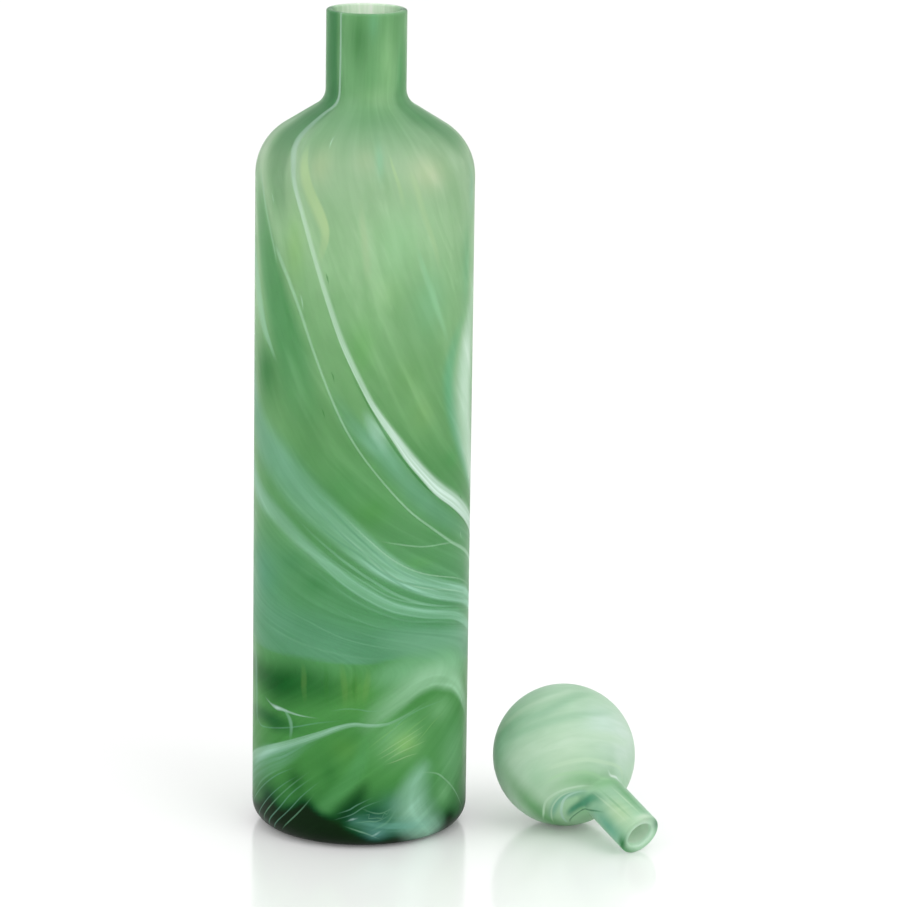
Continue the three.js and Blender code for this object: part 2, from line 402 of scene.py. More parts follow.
# Wide trails with soft edges
BOTTLE_VEILS = [
    Trail("neck_shade", (70, 124, 80), 0, (1, 0.35), 0, [[
        (-68, 490, 11, 0.95), (-68, 462, 11, 0.95), (-68, 442, 12, 0.95), (-69, 434, 14, 0.95),
        (-69, 428, 17, 0.9), (-66, 420, 18, 0.8), (-62, 411, 17, 0.65), (-58, 402, 15, 0.5),
        (-55, 392, 12, 0.45), (-53, 381, 10, 0.4), (-50, 366, 8, 0)]]),
    Trail("right_shade", (82, 138, 88), 0, (0.9, 0.4), 0, [[
        (64, 476, 3, 0), (62, 460, 5, 0.5), (62, 447, 7, 0.65), (62, 434, 13, 0.75), (63, 427, 18, 0.9),
        (69, 420, 18, 0.9), (70, 412, 16, 0.6), (71, 402, 11, 0)]]),
    Trail("left_shade", (82, 146, 90), 0, (0.7, 0.6), 0, [[
        (-84, 402, 7, 0), (-73, 378, 12, 0.6), (-65, 355, 15, 0.8), (-58, 335, 17, 0.85),
        (-49, 312, 18, 0.85), (-41, 292, 18, 0.75), (-36, 270, 18, 0.5), (-30, 250, 16, 0)]]),
    Trail("teal_belt", TEAL, 0.2, (0.15, 1), 0, [[
        (-150, 150, 16, 0), (-105, 140, 20, 0.5), (-70, 134, 22, 0.85), (-31, 131, 18, 0.85),
        (0, 127, 15, 0.85), (28, 128, 13, 0.8), (60, 120, 14, 0.8), (95, 114, 14, 0.7), (140, 112, 13, 0.4),
        (180, 116, 12, 0)]]),
    Trail("belt_light", (118, 176, 138), 0.2, SOFT, 0, [[
        (6, 128, 8, 0), (24, 124, 11, 0.65), (45, 121, 12, 0.75), (65, 118, 11, 0.65), (88, 114, 8, 0)]]),
    Trail("veil_a", (112, 168, 134), 0.3, (0.9, 0.8), 0, [[
        (-175, 402, 8, 0), (-140, 350, 13, 0.5), (-105, 288, 18, 0.75), (-75, 245, 20, 0.85),
        (-49, 227, 19, 0.85), (-31, 211, 17, 0.65), (-16, 198, 14, 0.5), (-2, 185, 11, 0.35),
        (12, 172, 8, 0)]]),
    Trail("veil_b", (126, 178, 144), 0.3, (0.8, 0.8), 0, [[
        (-150, 272, 7, 0), (-105, 229, 10, 0.6), (-72, 206, 10, 0.85), (-49, 195, 8, 0.75),
        (-30, 181, 6, 0.55), (-15, 170, 5, 0.3), (-4, 161, 4, 0)]]),
    Trail("ribbon_veil", (112, 170, 134), 0.1, (1, 0.8), 0, [[
        (-18, 278, 4, 0), (-10, 262, 7, 0.35), (-3, 252, 8, 0.6), (5, 244, 9, 0.8), (13, 235, 10, 0.75),
        (22, 222, 10, 0.75), (34, 208, 10, 0.7), (49, 195, 9, 0.6), (69, 183, 7, 0.3), (95, 167, 6, 0)]]),
    Trail("ribbon_glow", (154, 202, 174), 0.3, SOFT, 0, [[
        (0, 265, 3, 0), (4, 257, 5, 0.6), (8, 250, 6, 0.7), (11, 244, 5, 0.4), (15, 237, 4, 0)]]),
    Trail("right_veil", (108, 180, 138), 0.2, SOFT, 0, [[
        (66, 316, 5, 0), (56, 298, 7, 0.4), (51, 280, 8, 0.65), (54, 258, 8, 0.7), (62, 238, 7, 0.7),
        (72, 220, 6, 0.6), (86, 200, 5, 0)]]),
    Trail("right_patch", (188, 220, 194), 0.6, SOFT, 0, [[
        (86, 338, 7, 0), (76, 312, 12, 0.5), (70, 290, 18, 0.85), (68, 265, 20, 0.95), (71, 243, 17, 0.95),
        (80, 220, 12, 0.9), (92, 200, 9, 0.5), (104, 180, 6, 0)]]),
    Trail("arch_veil", (124, 186, 136), 0.3, SOFT, 0, [[
        (4, 100, 8, 0), (19, 108, 12, 0.65), (40, 111, 12, 0.6), (60, 107, 12, 0.9), (82, 96, 9, 0)]]),
    Trail("beam", (84, 156, 88), 0, SOFT, 0, [[
        (5, 74, 4, 0), (1, 56, 7, 0.8), (-4, 44, 8, 0.8), (-12, 33, 8, 0.8), (-21, 23, 7, 0.6),
        (-29, 15, 6, 0)]]),
    Trail("foot_night", NIGHT, 0.9, (0.05, 0.3), 0, [[
        (-95, -4, 16, 0.6), (-74, -4, 23, 0.85), (-65, -4, 27, 0.95), (-56, -4, 33, 0.95), (-47, -4, 29, 1),
        (-38, -4, 33, 1), (-30, -4, 39, 1), (-21, -4, 32, 1), (-12, -4, 26, 1), (-4, -4, 19, 0.9),
        (4, -4, 13, 0.8), (12, -4, 10, 0.6), (20, -4, 12, 0.75), (45, -4, 13, 0.85), (58, -4, 15, 0.9),
        (80, -4, 16, 0.85), (106, -4, 22, 0.95), (132, -4, 19, 0.9), (158, -4, 26, 1), (184, -4, 21, 0.95),
        (210, -4, 27, 1), (236, -4, 21, 0.9), (265, -4, 16, 0.6)]]),
    Trail("night_spike", (14, 44, 26), 0.6, (1, 1), 0, [[
        (-20, 10, 8, 0), (-11, 18, 10, 0.75), (-4, 27, 10, 0.75), (1, 35, 8, 0.6), (5, 45, 5, 0)]]),
    Trail("dark_pool", (28, 88, 38), 0.3, (1, 0.9), 0, [[
        (-128, 106, 6, 0), (-106, 101, 9, 0.4), (-84, 97, 12, 0.6), (-66, 95, 16, 0.8), (-52, 94, 20, 1),
        (-42, 96, 21, 0.95), (-33, 98, 20, 0.8), (-24, 98, 18, 0.65), (-12, 97, 14, 0.4), (2, 98, 9, 0)]]),
    Trail("dark_pool_low", (34, 94, 46), 0.3, SOFT, 0, [[
        (-100, 68, 4, 0), (-80, 70, 7, 0.5), (-64, 72, 8, 0.8), (-52, 71, 9, 0.95), (-44, 71, 8, 0.7),
        (-34, 71, 6, 0.3), (-22, 76, 4, 0)]]),
]

# Trails with drawn edges
BOTTLE_TRAILS = [
    Trail("left_band", (146, 196, 160), 0.4, (1, 0.3), 0.25, [[
        (-125, 400, 4, 0), (-100, 366, 6, 0.5), (-81, 336, 8, 0.9), (-73, 319, 7.4, 1), (-65, 304, 4.8, 1),
        (-58, 295, 2.4, 0.85), (-52, 286, 1.4, 0)]]),
    Trail("band_a", (152, 206, 178), 0.6, (0.4, 0.5), 0.45, [[
        (-60, 236, 15, 0), (-31, 211, 14, 0.2), (-16, 198, 12.5, 0.3), (-2, 185, 11, 0.5),
        (12, 172, 9.2, 0.85), (27, 162, 7.8, 1), (44, 154, 7.4, 1), (71, 144, 6.6, 1), (95, 130, 6, 0.9),
        (130, 110, 6, 0.7), (170, 94, 5, 0.4), (205, 82, 4, 0)]]),
    Trail("band_b", (142, 198, 166), 0.6, (0.35, 0.8), 0.45, [[
        (-46, 196, 4, 0), (-22, 176, 4.6, 0.55), (-8, 164, 4.8, 0.8), (5, 154.5, 4.8, 0.9),
        (18, 147, 4.4, 0.95), (35, 141.5, 4, 0.95), (60, 135, 3.8, 0.95), (80, 124, 3.6, 0.9),
        (110, 107, 4, 0.7), (150, 88, 4, 0.3), (180, 78, 3.5, 0)]]),
    Trail("second_high", PALE_MINT, 0.5, (0.6, 0.8), 0, [[
        (-74, 400, 1.2, 0), (-68, 388, 1.5, 0.5), (-63, 374, 1.2, 0.6), (-58, 362, 1, 0.6),
        (-54, 351, 0.9, 0.5), (-52, 344, 0.8, 0)]]),
    Trail("second_low", PALE_MINT, 0.5, (0.5, 0.9), 0, [[
        (-54, 356, 1.2, 0), (-51, 351, 2, 0.5), (-47, 344, 2.1, 0.6), (-41, 333, 1.8, 0.6),
        (-34, 317, 1.5, 0.6), (-26, 295, 1.2, 0.6), (-16, 269, 1, 0.6), (-8, 251, 0.9, 0.6),
        (2, 234, 0.8, 0.6), (15, 216, 0.8, 0.65), (27, 202, 0.9, 0.65), (40, 191, 1, 0.65),
        (55, 180, 1.3, 0.65), (68, 173, 1.6, 0.7), (82, 164, 1.8, 0.7), (105, 147, 1.6, 0.6),
        (135, 130, 1.6, 0)]]),
    Trail("ribbon_line", FOREST, 0, (0.6, 0.6), 0, [[
        (-8, 289, 0.7, 0), (3, 266, 0.8, 0.5), (16, 242, 0.9, 0.6), (28, 225, 1, 0.6), (38, 214, 1, 0.6),
        (56, 200, 1.1, 0.6), (76, 184, 1.2, 0.5), (95, 168, 1.2, 0)]]),
    Trail("neck_line", (168, 198, 182), 0.6, (0.5, 0.9), 0, [[
        (-39, 490, 0.9, 0.75), (-39, 463, 0.9, 0.8), (-40, 443, 1, 0.8), (-42, 434, 1.5, 0.75),
        (-48, 428, 2.2, 0.7), (-49, 420, 2.9, 0.7), (-46, 411, 3.1, 0.7), (-42, 403, 2.9, 0.65),
        (-39, 392, 2.5, 0.55), (-34, 376, 2, 0.3), (-28, 358, 1.6, 0)]]),
    Trail("main_ribbon", (216, 240, 228), 0.85, (0.25, 1.1), 0.3, [[
        (-41, 400, 1.8, 0), (-37, 386, 2, 0.4), (-33, 374, 2.1, 0.45), (-21, 335, 2.2, 0.5),
        (-10, 302, 2.4, 0.65), (2, 274, 2.2, 0.8), (9, 261, 2.6, 0.9), (18, 247, 3.4, 1), (26, 235, 4.2, 1),
        (35, 224, 4.6, 1), (45, 214, 5.6, 1), (59, 204, 6, 1), (79, 189, 6.2, 1), (105, 168, 5.5, 0.8),
        (140, 144, 5, 0.7), (180, 122, 4.5, 0.5), (215, 106, 4, 0)]]),
    Trail("back_ribbon", WHITE_MINT, 0.8, (0.4, 0.8), 0.3, [[
        (148, 490, 1.2, 0.5), (148, 445, 1.4, 0.5), (140, 428, 2.4, 0.5), (143, 408, 2.6, 0.6),
        (155, 370, 2, 0.7), (172, 325, 2.2, 0.8), (192, 285, 2.8, 0.9), (215, 252, 3.8, 0.9),
        (240, 230, 4.4, 0.7), (258, 216, 4, 0)]]),
    Trail("back_strand", MINT, 0.5, (0.6, 0.8), 0, [[
        (118, 398, 1.4, 0), (130, 360, 1.6, 0.7), (148, 312, 1.4, 0.7), (170, 268, 1.2, 0.7),
        (198, 228, 1.2, 0.7), (230, 200, 1.4, 0.6), (255, 184, 1.2, 0)]]),
    Trail("back_arch", (140, 196, 150), 0.4, (0.9, 1.3), 0.3, [[
        (112, 30, 7, 0), (128, 47, 10, 0.5), (146, 64, 12, 0.65), (166, 76, 12, 0.7), (186, 75, 11, 0.65),
        (204, 60, 9, 0.5), (222, 36, 7, 0)]]),
    Trail("right_diagonal", (152, 206, 162), 0.1, SOFT, 0, [[
        (28, 358, 1.6, 0), (31, 348, 2.6, 0.5), (36, 334, 3.2, 0.5), (40, 323, 3.2, 0.5),
        (45, 311, 2.8, 0.45), (51, 297, 2, 0)]]),
    Trail("arch", (164, 214, 174), 0.6, (0.5, 1.3), 0.2, [[
        (-2, 72, 6, 0), (9, 84, 10, 0.45), (18, 93, 12, 0.65), (29, 101, 12.5, 0.8), (42, 104, 12.5, 0.9),
        (54, 101, 12.5, 1), (63, 95, 10.5, 1), (72, 83, 7, 0.8), (81, 68, 4, 0)]]),
    Trail("low_wedge", (126, 180, 154), 0.5, (1.3, 0.6), 0.5, [[
        (-120, 10, 9, 0), (-98, 20, 11, 0.6), (-76, 34, 13, 0.8), (-58, 45, 12, 0.9), (-44, 52, 9, 0.85),
        (-30, 62, 5, 0.4), (-16, 71, 2, 0)]]),
    Trail("low_band", (160, 206, 182), 0.7, (1.2, 0.3), 0.35, [[
        (-100, 30, 5, 0), (-72, 44, 4.8, 0.9), (-41, 59, 3.6, 0.85), (-23, 68, 2.8, 0.8),
        (-11, 74, 2.2, 0.75), (-3, 76.5, 1.8, 0.7), (4, 76, 1.5, 0.65), (12, 76, 1.4, 0.65),
        (19, 78, 1.2, 0.5), (38, 87, 0.9, 0)]]),
    Trail("spark", (186, 218, 208), 0.7, SOFT, 0, [[
        (-62, 84, 0.6, 0), (-55, 81, 1, 0.5), (-50, 80, 2, 0.9), (-45, 80, 1.4, 0.8),
        (-34, 79, 0.8, 0.5), (-22, 79, 0.6, 0)]]),
    Trail("spark_tail", MINT, 0.5, (0.9, 0.7), 0, [[
        (-47, 81, 0.8, 0), (-43, 79, 1.4, 0.5), (-40, 75, 2, 0.6), (-39, 70, 1.8, 0.5),
        (-40, 62, 1.4, 0)]]),
    Trail("left_haze", SOFT_MINT, 0.3, SOFT, 0.3, [[
        (-78, 118, 3, 0), (-75, 102, 4, 0.5), (-74, 88, 4, 0.55), (-73, 74, 3, 0.5), (-72, 62, 2, 0)]]),
    Trail("plume", (156, 210, 182), 0.5, (0.9, 1.2), 0.15, [[
        (42, 52, 9, 0), (36, 44, 13, 0.6), (32, 35, 16, 0.9), (31, 26, 19, 1), (35, 16, 19, 1),
        (43, 7, 16, 0.9), (50, 0, 12, 0.6)]]),
    Trail("plume_foot", (108, 170, 150), 0.5, (1.2, 1), 0.5, [[
        (-6, 18, 5, 0), (4, 16, 8, 0.55), (14, 14, 9, 0.8), (24, 13, 9, 0.9), (34, 12, 8, 0.6),
        (46, 12, 5, 0)]]),
    thin_lines("foot_lines_a", (116, 174, 146), 0.5, 0.6, 0.4,
        [(-84, 10), (-74, 19), (-60, 31), (-48, 40), (-36, 47)],
        [(-62, 2), (-57, 9), (-47, 20), (-38, 31), (-24, 44)], [(-12, 22), (-5, 25), (-1, 28), (8, 33)],
        [(-74, 71), (-69, 66), (-62, 65), (-41, 70), (-23, 76), (-9, 79)],
        [(140, 4), (152, 18), (166, 31), (184, 44)], [(196, 4), (207, 18), (220, 30), (236, 42)]),
    thin_lines("foot_lines_b", (116, 174, 146), 0.5, 0.5, 0.36,
        [(-74, 3), (-68, 11), (-57, 23), (-45, 34), (-33, 43)],
        [(-58, 1), (-53, 7), (-41, 19), (-31, 31), (-19, 43)], [(-14, 18), (-4, 22), (3, 27), (13, 31)],
        [(149, 4), (160, 16), (174, 29), (192, 42)], [(205, 4), (215, 17), (228, 29), (244, 40)]),
    thin_lines("foot_lines_c", SOFT_MINT, 0.4, 0.6, 0.38,
        [(-66, 4), (-60, 13), (-49, 25), (-38, 36), (-26, 47)], [(-48, 5), (-40, 13), (-32, 22), (-24, 33)],
        [(-3, 17), (5, 18), (10, 18), (18, 22)], [(1, 26), (8, 23), (13, 23), (20, 27)],
        [(-16, 84), (-8, 86), (-1, 86), (4, 85), (12, 85)],
        [(-22, 151), (0, 139), (14, 134), (32, 130), (50, 126), (70, 121)],
        [(-60, 146), (-30, 137), (-8, 128), (16, 122), (40, 117)],
        [(9, 62), (17, 72), (24, 79), (36, 84), (56, 86)]),
    thin_lines("foot_lines_d", SOFT_MINT, 0.4, 0.9, 0.32,
        [(-80, 16), (-66, 30), (-54, 39), (-42, 46)], [(6, 12), (12, 15), (16, 18), (21, 26)],
        [(-18, 139), (12, 128), (32, 124), (58, 120)],
        [(-75, 132), (-48, 126), (-24, 121), (0, 117), (14, 116)],
        [(-34, 176), (-10, 156), (6, 146), (24, 138), (46, 134), (66, 128)]),
    thin_lines("strands_a", MINT, 0.5, 1.2, 0.45,
        [(-40, 200), (-6, 172), (6, 163), (19, 154), (34, 147), (58, 140)]),
    thin_lines("strands_b", MINT, 0.5, 0.7, 0.4,
        [(-30, 186), (6, 159), (20, 151), (40, 145), (64, 139)], [(-8, 15), (0, 12), (5, 10), (12, 6)]),
    thin_lines("pale_lines_a", PALE_MINT, 0.5, 0.7, 0.42,
        [(-20, 200), (-2, 183), (13, 168), (30, 158), (58, 150), (75, 143)],
        [(8, 187), (20, 184), (34, 181), (50, 180), (62, 178)],
        [(34, 45), (45, 42), (53, 36), (63, 26), (75, 11)],
        [(150, 384), (166, 334), (186, 290), (210, 257), (238, 236)]),
    thin_lines("pale_lines_b", PALE_MINT, 0.5, 0.5, 0.5,
        [(-12, 204), (4, 187), (18, 174), (34, 165), (60, 157), (76, 150)],
        [(98, 330), (114, 288), (134, 250), (160, 216), (190, 190)]),
    thin_lines("teal_lines_a", TEAL, 0.3, 1, 0.42,
        [(-30, 222), (-9, 197), (5, 182), (19, 169), (35, 160), (71, 146)]),
    thin_lines("teal_lines_b", TEAL, 0.3, 1, 0.45,
        [(-30, 211), (-9, 189), (5, 176), (19, 163), (35, 157), (71, 144)]),
    thin_lines("teal_lines_c", TEAL, 0.3, 0.9, 0.42,
        [(-32, 204), (-16, 189), (-2, 179), (12, 167), (27, 156), (44, 149)]),
    thin_lines("radial_lines_a", SPRING, 0.2, 0.8, 0.5, [(12, 59), (22, 67), (29, 73), (43, 81)]),
    thin_lines("radial_lines_b", SPRING, 0.2, 0.6, 0.4,
        [(2, 60), (11, 68), (19, 74), (30, 80)], [(24, 58), (34, 66), (43, 74), (54, 80)]),
    thin_lines("straw_lines_a", STRAW, 0.2, 0.5, 0.45,
        [(8, 57), (17, 63), (26, 68), (38, 74)], [(13, 52), (20, 54), (26, 56), (33, 57)]),
    thin_lines("straw_lines_b", STRAW, 0.2, 0.5, 0.5, [(9, 55), (18, 60), (26, 65), (37, 70)]),
    thin_lines("straw_lines_c", STRAW, 0.2, 0.6, 0.45, [(12, 53), (20, 58), (28, 61), (39, 64)]),
    thin_lines("olive_lines_a", (112, 164, 82), 0.1, 2.6, 0.26,
        [(-10, 116), (-9, 106), (-8, 97), (-8, 84)], [(4, 112), (4, 104), (3, 97), (2, 88)],
        [(-32, 112), (-31, 104), (-31, 96), (-30, 86)]),
    thin_lines("olive_lines_b", (58, 122, 54), 0.1, 2, 0.4,
        [(-4, 114), (-3, 105), (-3, 97), (-2, 86)], [(-19, 114), (-18, 105), (-18, 96), (-17, 85)]),
    # painted glints of light in the thick foot
    thin_lines("painted_foot_glints", (176, 214, 206), 0.7, 0.9, 0.5,
        [(-6, 18), (-4, 19), (-2.5, 19.5), (-1, 20)], [(6, 8.5), (8, 9), (10, 10.5), (12, 12)]),
    thin_lines("pale_seeds", WHITE_MINT, 0.5, 0.5, 0.6,
        [(-35, 329), (-34, 326), (-33.5, 323), (-33, 320)],
        [(-57, 384), (-56, 382), (-55.5, 380), (-55, 378)],
        [(-22, 419), (-22.5, 417), (-22.5, 415), (-22, 412)],
        [(65, 184), (65, 182.5), (65.5, 181), (66, 179)]),
    thin_lines("dark_seeds", FOREST, 0, 0.6, 0.7,
        [(-17, 286), (-16, 284), (-15.5, 282), (-15, 279)], [(63, 206), (64, 205), (65, 204), (66, 203)],
        [(-20, 343), (-19.5, 341), (-19, 339), (-18.5, 336)],
        [(-22, 264), (-21, 262), (-20.5, 260), (-20, 258)]),
    Trail("straw_wedge", (182, 210, 154), 0.1, (0.9, 0.4), 0, [[
        (-38, 414, 2, 0), (-35, 402, 4, 0.75), (-30, 388, 5, 0.85), (-24, 375, 5, 0.95),
        (-21, 364, 3.6, 0.9), (-24, 348, 2, 0)]]),
    Trail("straw_streak_a", (178, 208, 156), 0.1, (0.8, 0.8), 0, [[
        (14, 411, 0.8, 0), (15, 404, 1.2, 0.7), (18, 392, 1.8, 0.5), (21, 378, 2, 0)]]),
    Trail("straw_streak_b", (178, 208, 158), 0.1, (0.8, 0.8), 0, [[
        (24, 402, 2, 0), (27, 393, 3, 0.6), (32, 376, 3, 0.5), (39, 357, 2.4, 0.5), (43, 342, 2, 0)]]),
    Trail("beige_streak", BEIGE, 0.1, SOFT, 0, [[
        (-2, 388, 2, 0), (-1, 371, 3, 0.6), (1, 352, 3.5, 0.5), (2, 335, 3, 0)]]),
]

# How far the drawn streaks have turned round the bottle: height, degrees
BOTTLE_FLOW = [
    (0, 130), (20, 155), (44, 185), (77, 225), (104, 262), (122, 240), (142, 168), (162, 126), (193, 73),
    (222, 39), (259, 12), (302, -10), (356, -28), (400, -41), (430, -45), (490, -40),
]


# Places on the turned surface

def radius_at(heights, outside):
    """Outside radius at each height."""
    return np.interp(heights, outside[:, 1], outside[:, 0])


def on_surface(angles, heights, outside):
    """Places on the outer surface, from degrees round and height."""
    radius = radius_at(heights, outside)
    turn = np.radians(angles)
    return np.column_stack([radius * np.sin(turn), -radius * np.cos(turn), heights])


def outward_at(angles, heights, outside):
    """The way out of the outer surface, from degrees round and height."""
    slope = radius_at(heights + SLOPE_STEP, outside) - radius_at(heights - SLOPE_STEP, outside)
    turn = np.radians(angles)
    way = np.column_stack([np.sin(turn), -np.cos(turn), -slope])
    return way / np.linalg.norm(way, axis=1)[:, None]


def smooth_places(places):
    """A smooth run through the listed places."""
    p = np.array(places, float)
    p = np.vstack([2 * p[0] - p[1], p, 2 * p[-1] - p[-2]])
    t = np.linspace(0, 1, SPAN_STEPS, endpoint=False)[:, None]
    runs = []
    for a, b, c, d in zip(p, p[1:], p[2:], p[3:]):
        runs.append(0.5 * (2 * b + (c - a) * t + (2 * a - 5 * b + 4 * c - d) * t ** 2
                           + (3 * b - a - 3 * c + d) * t ** 3))
    return np.vstack(runs + [p[-2:-1]])


def trail_path(places, outside):
    """Along one run, in rows: middle, way ahead, way aside, distance, half width and strength."""
    run = smooth_places(places)
    middle = on_surface(run[:, 0], run[:, 1], outside)
    ahead = np.gradient(middle, axis=0)
    ahead /= np.linalg.norm(ahead, axis=1)[:, None]
    aside = np.cross(outward_at(run[:, 0], run[:, 1], outside), ahead)
    along = np.concatenate([[0], np.cumsum(np.linalg.norm(np.diff(middle, axis=0), axis=1))])
    widths = np.maximum(run[:, 2], LEAST_WIDTH)
    strengths = np.clip(run[:, 3], 0, 1)
    return np.column_stack([middle, ahead, aside, along, widths, strengths])


def trail_field(trail, points, outside):
    """For each point: place across the trail (edges at -1 and 1), distance along it, and strength."""
    path = np.vstack([trail_path(places, outside) for places in trail.runs])
    middle, ahead, aside = path[:, 0:3], path[:, 3:6], path[:, 6:9]
    along, widths, strengths = path[:, 9:12].T
    field = np.tile([OFF_TRAIL, 0, 0], (len(points), 1))
    near = np.zeros(len(points), bool)
    reach = OFF_TRAIL * widths.max() + NEAR_MARGIN
    for place in middle[::SEARCH_STRIDE]:
        near |= np.linalg.norm(points - place, axis=1) < reach
    chosen = np.flatnonzero(near)
    for part in np.array_split(chosen, len(chosen) // BATCH + 1):
        apart = np.linalg.norm(points[part, None] - middle[None], axis=2)
        k = apart.argmin(axis=1)
        gap = points[part] - middle[k]
        across = np.einsum("ij,ij->i", gap, aside[k]) / widths[k]
        past_end = np.abs(np.einsum("ij,ij->i", gap, ahead[k])) > END_REACH
        limit = np.maximum(FAR_WIDTHS * widths[k], widths[k] + FAR_MARGIN)
        far_off = apart.min(axis=1) > limit
        field[part, 0] = np.clip(across, -OFF_TRAIL, OFF_TRAIL)
        field[part, 1] = along[k]
        field[part, 2] = np.where(past_end | far_off, 0, strengths[k])
    return field


def smoothstep(value, low, high):
    """Rises smoothly from 0 at low to 1 at high."""
    t = np.clip((value - low) / (high - low), 0, 1)
    return t * t * (3 - 2 * t)


def soft_paint(points, outside, heights_list, patches, veils):
    """Colour as seen, and milkiness, of each point: by height, then soft clouds, then veils."""
    turn = np.degrees(np.arctan2(points[:, 0], -points[:, 1]))
    heights = points[:, 2]
    stops, colours, milks = (np.array(column) for column in zip(*heights_list))
    seen = np.column_stack([np.interp(heights, stops, part) for part in linear(colours).T])
    milk = np.interp(heights, stops, milks)
    radius = np.maximum(radius_at(heights, outside), LEAST_RADIUS)
    for place, height, half_width, half_height, colour, strength in patches:
        apart = (turn - place + 180) % 360 - 180
        sideways = np.radians(apart) * radius / half_width
        upward = (heights - height) / half_height
        cover = strength * np.exp(-PATCH_FALLOFF * (sideways ** 2 + upward ** 2))
        seen += (linear(colour) - seen) * cover[:, None]
    surface = on_surface(turn, heights, outside)
    for veil in veils:
        field = trail_field(veil, surface, outside)
        across = field[:, 0]
        left, right = veil.edges
        cover = field[:, 2] * smoothstep(across, -1, left - 1) * smoothstep(-across, -1, right - 1)
        seen += (linear(veil.colour) - seen) * cover[:, None]
        milk += (veil.milk - milk) * cover
    return seen, milk


# Material helpers

def fill(tree, made, inputs):
    """Gives a node its inputs: numbers, colours or links."""
    for key, value in inputs.items():
        if isinstance(value, bpy.types.NodeSocket):
            tree.links.new(value, made.inputs[key])
        else:
            made.inputs[key].default_value = value


def node(tree, kind, inputs=(), **settings):
    """Adds a shader node with its inputs."""
    made = tree.nodes.new(kind)
    for key, value in settings.items():
        setattr(made, key, value)
    fill(tree, made, dict(inputs))
    return made


def maths(tree, operation, first, second=0.0):
    """One sum on two numbers or sockets."""
    made = node(tree, "ShaderNodeMath", {0: first, 1: second}, operation=operation)
    return made.outputs[0]


def remap(tree, value, low, high, to_low=0.0, to_high=1.0):
    """Smoothly carries one range onto another."""
    inputs = {"Value": value, "From Min": low, "From Max": high, "To Min": to_low, "To Max": to_high}
    return node(tree, "ShaderNodeMapRange", inputs, interpolation_type="SMOOTHSTEP").outputs["Result"]


def blend(tree, factor, first, second, mode="MIX"):
    """Mixes two colours."""
    inputs = {0: factor, 6: first, 7: second}
    return node(tree, "ShaderNodeMix", inputs, data_type="RGBA", blend_type=mode).outputs[2]


def stored(tree, name):
    """Reads what is kept on the mesh under a name."""
    return node(tree, "ShaderNodeAttribute", attribute_name=name).outputs


def noise(tree, vector, scale, detail, distortion):
    """A noise value about one half."""
    inputs = {"Vector": vector, "Scale": scale, "Detail": detail, "Distortion": distortion}
    return node(tree, "ShaderNodeTexNoise", inputs).outputs["Fac"]


def trail_group(name, streaky):
    """A node group that lays one trail over the colour and milk below it."""
    tree = bpy.data.node_groups.new(name, "ShaderNodeTree")
    sockets = [("Under", "Color"), ("Under milk", "Float"), ("Field", "Vector"), ("Colour", "Color"),
               ("Milk", "Float"), ("Left", "Float"), ("Right", "Float"), ("Uneven", "Float")]
    if streaky:
        sockets += [("Streak", "Float"), ("Seed", "Float")]
    for label, kind in sockets:
        tree.interface.new_socket(label, in_out="INPUT", socket_type=f"NodeSocket{kind}")
    for label, kind in (("Colour", "Color"), ("Milk", "Float")):
        tree.interface.new_socket(label, in_out="OUTPUT", socket_type=f"NodeSocket{kind}")
    given = tree.nodes.new("NodeGroupInput").outputs
    across, along, strength = node(tree, "ShaderNodeSeparateXYZ", {0: given["Field"]}).outputs
    left = remap(tree, across, -1.0, maths(tree, "ADD", given["Left"], -1.0))
    right = remap(tree, across, 1.0, maths(tree, "SUBTRACT", 1.0, given["Right"]))
    cover = maths(tree, "MULTIPLY", maths(tree, "MULTIPLY", left, right), strength)
    cover = maths(tree, "MULTIPLY", cover, given["Uneven"])
    if streaky:
        round_it = maths(tree, "MULTIPLY", across, STREAK_ACROSS)
        down_it = maths(tree, "MULTIPLY", along, STREAK_ALONG)
        lines = node(tree, "ShaderNodeCombineXYZ", {0: round_it, 1: down_it, 2: given["Seed"]}).outputs[0]
        fine = remap(tree, noise(tree, lines, *STREAK_NOISE), *STREAK_SPREAD, -1.0, 0.0)
        broken = maths(tree, "ADD", maths(tree, "MULTIPLY", fine, given["Streak"]), 1.0)
        cover = maths(tree, "MULTIPLY", cover, broken)
    colour = blend(tree, cover, given["Under"], given["Colour"])
    more_milk = maths(tree, "SUBTRACT", given["Milk"], given["Under milk"])
    milk = maths(tree, "ADD", given["Under milk"], maths(tree, "MULTIPLY", more_milk, cover))
    node(tree, "NodeGroupOutput", {"Colour": colour, "Milk": milk})
    return tree


PLAIN_TRAIL = trail_group("plain_trail", False)
STREAKY_TRAIL = trail_group("streaky_trail", True)


def lay_trails(tree, colour, milk, uneven, trails):
    """Lays the trails over a colour and its milkiness, in their order."""
    for seed, trail in enumerate(trails):
        inputs = {"Under": colour, "Under milk": milk, "Uneven": uneven, "Milk": trail.milk}
        inputs["Field"] = stored(tree, trail.name)["Vector"]
        inputs["Colour"] = (*wall_colour(linear(trail.colour), trail.milk), 1)
        inputs["Left"], inputs["Right"] = trail.edges
        group = PLAIN_TRAIL
        if trail.streak:
            inputs.update({"Streak": trail.streak, "Seed": SEED_STEP * seed})
            group = STREAKY_TRAIL
        made = node(tree, "ShaderNodeGroup", inputs, node_tree=group)
        colour, milk = made.outputs["Colour"], made.outputs["Milk"]
    return colour, milk


def new_material(name):
    """A material with its shader and node tree."""
    material = bpy.data.materials.new(name)
    material.use_nodes = True
    tree = material.node_tree
    return material, tree, tree.nodes["Principled BSDF"]


